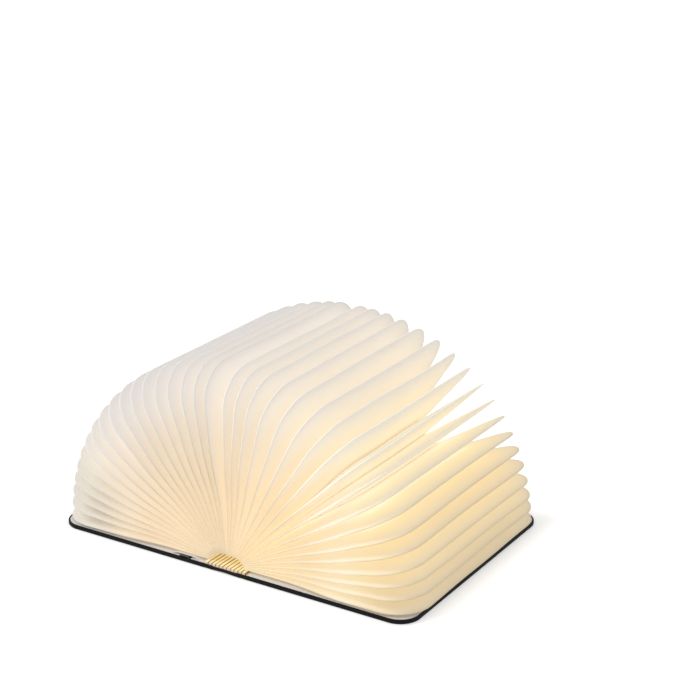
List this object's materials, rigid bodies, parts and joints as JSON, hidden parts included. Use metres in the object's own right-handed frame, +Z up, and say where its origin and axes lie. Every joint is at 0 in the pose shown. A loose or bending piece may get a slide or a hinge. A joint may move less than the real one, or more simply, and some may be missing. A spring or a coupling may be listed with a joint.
{
  "type": "folding book lamp",
  "caption": "Book-shaped lamp that opens flat on two dark hardcovers, with a fan of pale lit pleats standing over a slatted spine.",
  "frame": {"origin": "the middle of the spine, on the surface that the open lamp lies on", "axes": "+X across the covers towards the front cover, +Y along the spine towards the head, +Z up"},
  "size_m": [0.1926, 0.125, 0.0946],
  "materials": {
    "leatherette": "fine matt grain",
    "board": "matt",
    "endpaper": "matt",
    "pleat": "matt spun-bonded fibre",
    "slat": "cut edges",
    "circuit": "satin",
    "chip": "satin",
    "cell": "satin foil",
    "copper": "tinned copper",
    "plastic": "matt",
    "steel": "satin"
  },
  "bodies": {
    "spine": {"spine_wrap": "leatherette", "spine_card": "board", "spine_liner": "slat", "led_strip": "circuit", "led_lead": "copper", "back_hinge_strip": "leatherette", "front_hinge_strip": "leatherette"},
    "back_cover": {"back_wrap": "leatherette", "back_board": "board", "back_endpaper": "endpaper", "back_magnet": "steel", "battery_cell": "cell", "cell_lead": "copper", "control_board": "circuit", "opening_sensor": "chip", "port_housing": "plastic", "usb_socket": "steel"},
    "front_cover": {"front_wrap": "leatherette", "front_board": "board", "front_endpaper": "endpaper", "front_magnet": "steel"},
    "page_back_01": {"page_back_01": "pleat"},
    "page_back_02": {"page_back_02": "pleat"},
    "page_back_03": {"page_back_03": "pleat"},
    "page_back_04": {"page_back_04": "pleat"},
    "page_back_05": {"page_back_05": "pleat"},
    "page_back_06": {"page_back_06": "pleat"},
    "page_back_07": {"page_back_07": "pleat"},
    "page_back_08": {"page_back_08": "pleat"},
    "page_back_09": {"page_back_09": "pleat"},
    "page_back_10": {"page_back_10": "pleat"},
    "page_back_11": {"page_back_11": "pleat"},
    "page_back_12": {"page_back_12": "pleat"},
    "page_back_13": {"page_back_13": "pleat"},
    "page_back_14": {"page_back_14": "pleat"},
    "page_back_15": {"page_back_15": "pleat"},
    "page_back_16": {"page_back_16": "pleat"},
    "page_back_17": {"page_back_17": "pleat"},
    "page_back_18": {"page_back_18": "pleat"},
    "page_front_01": {"page_front_01": "pleat"},
    "page_front_02": {"page_front_02": "pleat"},
    "page_front_03": {"page_front_03": "pleat"},
    "page_front_04": {"page_front_04": "pleat"},
    "page_front_05": {"page_front_05": "pleat"},
    "page_front_06": {"page_front_06": "pleat"},
    "page_front_07": {"page_front_07": "pleat"},
    "page_front_08": {"page_front_08": "pleat"},
    "page_front_09": {"page_front_09": "pleat"},
    "page_front_10": {"page_front_10": "pleat"},
    "page_front_11": {"page_front_11": "pleat"},
    "page_front_12": {"page_front_12": "pleat"},
    "page_front_13": {"page_front_13": "pleat"},
    "page_front_14": {"page_front_14": "pleat"},
    "page_front_15": {"page_front_15": "pleat"},
    "page_front_16": {"page_front_16": "pleat"},
    "page_front_17": {"page_front_17": "pleat"},
    "page_front_18": {"page_front_18": "pleat"}
  },
  "joints": [
    {"name": "back_cover_hinge", "type": "hinge", "parent": "spine", "child": "back_cover", "pos_m": [-0.0055, 0, 0.0011], "axis": [0, 1, 0], "range_deg": [-92.5, 85], "deforming": ["spine_liner", "led_lead", "back_hinge_strip"]},
    {"name": "front_cover_hinge", "type": "hinge", "parent": "spine", "child": "front_cover", "pos_m": [0.0055, 0, 0.0011], "axis": [0, -1, 0], "range_deg": [-92.5, 85], "deforming": ["front_hinge_strip"]},
    {"name": "page_back_01_fold", "type": "hinge", "parent": "spine", "child": "page_back_01", "pos_m": [-0.0055, 0, 0.0011], "axis": [0, 1, 0], "range_deg": [-92.84, 85.35], "deforming": ["page_back_01"]},
    {"name": "page_back_02_fold", "type": "hinge", "parent": "spine", "child": "page_back_02", "pos_m": [-0.0055, 0, 0.0011], "axis": [0, 1, 0], "range_deg": [-88.67, 81.52], "deforming": ["page_back_02"]},
    {"name": "page_back_03_fold", "type": "hinge", "parent": "spine", "child": "page_back_03", "pos_m": [-0.0055, 0, 0.0011], "axis": [0, 1, 0], "range_deg": [-84.58, 77.77], "deforming": ["page_back_03"]},
    {"name": "page_back_04_fold", "type": "hinge", "parent": "spine", "child": "page_back_04", "pos_m": [-0.0055, 0, 0.0011], "axis": [0, 1, 0], "range_deg": [-80.49, 74], "deforming": ["page_back_04"]},
    {"name": "page_back_05_fold", "type": "hinge", "parent": "spine", "child": "page_back_05", "pos_m": [-0.0055, 0, 0.0011], "axis": [0, 1, 0], "range_deg": [-75.95, 69.83], "deforming": ["page_back_05"]},
    {"name": "page_back_06_fold", "type": "hinge", "parent": "spine", "child": "page_back_06", "pos_m": [-0.0055, 0, 0.0011], "axis": [0, 1, 0], "range_deg": [-71.3, 65.56], "deforming": ["page_back_06"]},
    {"name": "page_back_07_fold", "type": "hinge", "parent": "spine", "child": "page_back_07", "pos_m": [-0.0055, 0, 0.0011], "axis": [0, 1, 0], "range_deg": [-66.32, 60.98], "deforming": ["page_back_07"]},
    {"name": "page_back_08_fold", "type": "hinge", "parent": "spine", "child": "page_back_08", "pos_m": [-0.0055, 0, 0.0011], "axis": [0, 1, 0], "range_deg": [-61.01, 56.1], "deforming": ["page_back_08"]},
    {"name": "page_back_09_fold", "type": "hinge", "parent": "spine", "child": "page_back_09", "pos_m": [-0.0055, 0, 0.0011], "axis": [0, 1, 0], "range_deg": [-55.16, 50.72], "deforming": ["page_back_09"]},
    {"name": "page_back_10_fold", "type": "hinge", "parent": "spine", "child": "page_back_10", "pos_m": [-0.0055, 0, 0.0011], "axis": [0, 1, 0], "range_deg": [-48.98, 45.05], "deforming": ["page_back_10"]},
    {"name": "page_back_11_fold", "type": "hinge", "parent": "spine", "child": "page_back_11", "pos_m": [-0.0055, 0, 0.0011], "axis": [0, 1, 0], "range_deg": [-43.13, 39.67], "deforming": ["page_back_11"]},
    {"name": "page_back_12_fold", "type": "hinge", "parent": "spine", "child": "page_back_12", "pos_m": [-0.0055, 0, 0.0011], "axis": [0, 1, 0], "range_deg": [-37.5, 34.5], "deforming": ["page_back_12"]},
    {"name": "page_back_13_fold", "type": "hinge", "parent": "spine", "child": "page_back_13", "pos_m": [-0.0055, 0, 0.0011], "axis": [0, 1, 0], "range_deg": [-31.87, 29.33], "deforming": ["page_back_13"]},
    {"name": "page_back_14_fold", "type": "hinge", "parent": "spine", "child": "page_back_14", "pos_m": [-0.0055, 0, 0.0011], "axis": [0, 1, 0], "range_deg": [-26.26, 24.17], "deforming": ["page_back_14"]},
    {"name": "page_back_15_fold", "type": "hinge", "parent": "spine", "child": "page_back_15", "pos_m": [-0.0055, 0, 0.0011], "axis": [0, 1, 0], "range_deg": [-20.88, 19.23], "deforming": ["page_back_15"]},
    {"name": "page_back_16_fold", "type": "hinge", "parent": "spine", "child": "page_back_16", "pos_m": [-0.0055, 0, 0.0011], "axis": [0, 1, 0], "range_deg": [-15.52, 14.3], "deforming": ["page_back_16"]},
    {"name": "page_back_17_fold", "type": "hinge", "parent": "spine", "child": "page_back_17", "pos_m": [-0.0055, 0, 0.0011], "axis": [0, 1, 0], "range_deg": [-10.7, 9.88], "deforming": ["page_back_17"]},
    {"name": "page_back_18_fold", "type": "hinge", "parent": "spine", "child": "page_back_18", "pos_m": [-0.0055, 0, 0.0011], "axis": [0, 1, 0], "range_deg": [-6.63, 6.13], "deforming": ["page_back_18"]},
    {"name": "page_front_01_fold", "type": "hinge", "parent": "spine", "child": "page_front_01", "pos_m": [0.0055, 0, 0.0011], "axis": [0, -1, 0], "range_deg": [-93.05, 85.54], "deforming": ["page_front_01"]},
    {"name": "page_front_02_fold", "type": "hinge", "parent": "spine", "child": "page_front_02", "pos_m": [0.0055, 0, 0.0011], "axis": [0, -1, 0], "range_deg": [-88.88, 81.71], "deforming": ["page_front_02"]},
    {"name": "page_front_03_fold", "type": "hinge", "parent": "spine", "child": "page_front_03", "pos_m": [0.0055, 0, 0.0011], "axis": [0, -1, 0], "range_deg": [-84.9, 78.06], "deforming": ["page_front_03"]},
    {"name": "page_front_04_fold", "type": "hinge", "parent": "spine", "child": "page_front_04", "pos_m": [0.0055, 0, 0.0011], "axis": [0, -1, 0], "range_deg": [-80.49, 74], "deforming": ["page_front_04"]},
    {"name": "page_front_05_fold", "type": "hinge", "parent": "spine", "child": "page_front_05", "pos_m": [0.0055, 0, 0.0011], "axis": [0, -1, 0], "range_deg": [-75.53, 69.45], "deforming": ["page_front_05"]},
    {"name": "page_front_06_fold", "type": "hinge", "parent": "spine", "child": "page_front_06", "pos_m": [0.0055, 0, 0.0011], "axis": [0, -1, 0], "range_deg": [-70.56, 64.88], "deforming": ["page_front_06"]},
    {"name": "page_front_07_fold", "type": "hinge", "parent": "spine", "child": "page_front_07", "pos_m": [0.0055, 0, 0.0011], "axis": [0, -1, 0], "range_deg": [-65.26, 60.01], "deforming": ["page_front_07"]},
    {"name": "page_front_08_fold", "type": "hinge", "parent": "spine", "child": "page_front_08", "pos_m": [0.0055, 0, 0.0011], "axis": [0, -1, 0], "range_deg": [-59.63, 54.83], "deforming": ["page_front_08"]},
    {"name": "page_front_09_fold", "type": "hinge", "parent": "spine", "child": "page_front_09", "pos_m": [0.0055, 0, 0.0011], "axis": [0, -1, 0], "range_deg": [-53.78, 49.46], "deforming": ["page_front_09"]},
    {"name": "page_front_10_fold", "type": "hinge", "parent": "spine", "child": "page_front_10", "pos_m": [0.0055, 0, 0.0011], "axis": [0, -1, 0], "range_deg": [-47.6, 43.78], "deforming": ["page_front_10"]},
    {"name": "page_front_11_fold", "type": "hinge", "parent": "spine", "child": "page_front_11", "pos_m": [0.0055, 0, 0.0011], "axis": [0, -1, 0], "range_deg": [-41.22, 37.92], "deforming": ["page_front_11"]},
    {"name": "page_front_12_fold", "type": "hinge", "parent": "spine", "child": "page_front_12", "pos_m": [0.0055, 0, 0.0011], "axis": [0, -1, 0], "range_deg": [-34.96, 32.16], "deforming": ["page_front_12"]},
    {"name": "page_front_13_fold", "type": "hinge", "parent": "spine", "child": "page_front_13", "pos_m": [0.0055, 0, 0.0011], "axis": [0, -1, 0], "range_deg": [-28.6, 26.32], "deforming": ["page_front_13"]},
    {"name": "page_front_14_fold", "type": "hinge", "parent": "spine", "child": "page_front_14", "pos_m": [0.0055, 0, 0.0011], "axis": [0, -1, 0], "range_deg": [-22.05, 20.31], "deforming": ["page_front_14"]},
    {"name": "page_front_15_fold", "type": "hinge", "parent": "spine", "child": "page_front_15", "pos_m": [0.0055, 0, 0.0011], "axis": [0, -1, 0], "range_deg": [-15.85, 14.61], "deforming": ["page_front_15"]},
    {"name": "page_front_16_fold", "type": "hinge", "parent": "spine", "child": "page_front_16", "pos_m": [0.0055, 0, 0.0011], "axis": [0, -1, 0], "range_deg": [-10.2, 9.41], "deforming": ["page_front_16"]},
    {"name": "page_front_17_fold", "type": "hinge", "parent": "spine", "child": "page_front_17", "pos_m": [0.0055, 0, 0.0011], "axis": [0, -1, 0], "range_deg": [-5.51, 5.1], "deforming": ["page_front_17"]},
    {"name": "page_front_18_fold", "type": "hinge", "parent": "spine", "child": "page_front_18", "pos_m": [0.0055, 0, 0.0011], "axis": [0, -1, 0], "range_deg": [-1.36, 1.29], "deforming": ["page_front_18"]}
  ],
  "couplings": [
    {"joint": "page_back_01_fold", "follows": "back_cover_hinge", "ratio": 0.99827},
    {"joint": "page_back_02_fold", "follows": "back_cover_hinge", "ratio": 0.95318},
    {"joint": "page_back_03_fold", "follows": "back_cover_hinge", "ratio": 0.90903},
    {"joint": "page_back_04_fold", "follows": "back_cover_hinge", "ratio": 0.86471},
    {"joint": "page_back_05_fold", "follows": "back_cover_hinge", "ratio": 0.8157},
    {"joint": "page_back_06_fold", "follows": "back_cover_hinge", "ratio": 0.7654},
    {"joint": "page_back_07_fold", "follows": "back_cover_hinge", "ratio": 0.71153},
    {"joint": "page_back_08_fold", "follows": "back_cover_hinge", "ratio": 0.65411},
    {"joint": "page_back_09_fold", "follows": "back_cover_hinge", "ratio": 0.59087},
    {"joint": "page_back_10_fold", "follows": "back_cover_hinge", "ratio": 0.52415},
    {"joint": "page_back_11_fold", "follows": "back_cover_hinge", "ratio": 0.46087},
    {"joint": "page_back_12_fold", "follows": "back_cover_hinge", "ratio": 0.39996},
    {"joint": "page_back_13_fold", "follows": "back_cover_hinge", "ratio": 0.33915},
    {"joint": "page_back_14_fold", "follows": "back_cover_hinge", "ratio": 0.2785},
    {"joint": "page_back_15_fold", "follows": "back_cover_hinge", "ratio": 0.22032},
    {"joint": "page_back_16_fold", "follows": "back_cover_hinge", "ratio": 0.16237},
    {"joint": "page_back_17_fold", "follows": "back_cover_hinge", "ratio": 0.11029},
    {"joint": "page_back_18_fold", "follows": "back_cover_hinge", "ratio": 0.0663},
    {"joint": "page_front_01_fold", "follows": "front_cover_hinge", "ratio": 1.0005},
    {"joint": "page_front_02_fold", "follows": "front_cover_hinge", "ratio": 0.95543},
    {"joint": "page_front_03_fold", "follows": "front_cover_hinge", "ratio": 0.91242},
    {"joint": "page_front_04_fold", "follows": "front_cover_hinge", "ratio": 0.86471},
    {"joint": "page_front_05_fold", "follows": "front_cover_hinge", "ratio": 0.81115},
    {"joint": "page_front_06_fold", "follows": "front_cover_hinge", "ratio": 0.75741},
    {"joint": "page_front_07_fold", "follows": "front_cover_hinge", "ratio": 0.70009},
    {"joint": "page_front_08_fold", "follows": "front_cover_hinge", "ratio": 0.63922},
    {"joint": "page_front_09_fold", "follows": "front_cover_hinge", "ratio": 0.57597},
    {"joint": "page_front_10_fold", "follows": "front_cover_hinge", "ratio": 0.50924},
    {"joint": "page_front_11_fold", "follows": "front_cover_hinge", "ratio": 0.44025},
    {"joint": "page_front_12_fold", "follows": "front_cover_hinge", "ratio": 0.3725},
    {"joint": "page_front_13_fold", "follows": "front_cover_hinge", "ratio": 0.30378},
    {"joint": "page_front_14_fold", "follows": "front_cover_hinge", "ratio": 0.23302},
    {"joint": "page_front_15_fold", "follows": "front_cover_hinge", "ratio": 0.16596},
    {"joint": "page_front_16_fold", "follows": "front_cover_hinge", "ratio": 0.10487},
    {"joint": "page_front_17_fold", "follows": "front_cover_hinge", "ratio": 0.05416},
    {"joint": "page_front_18_fold", "follows": "front_cover_hinge", "ratio": 0.00928}
  ]
}
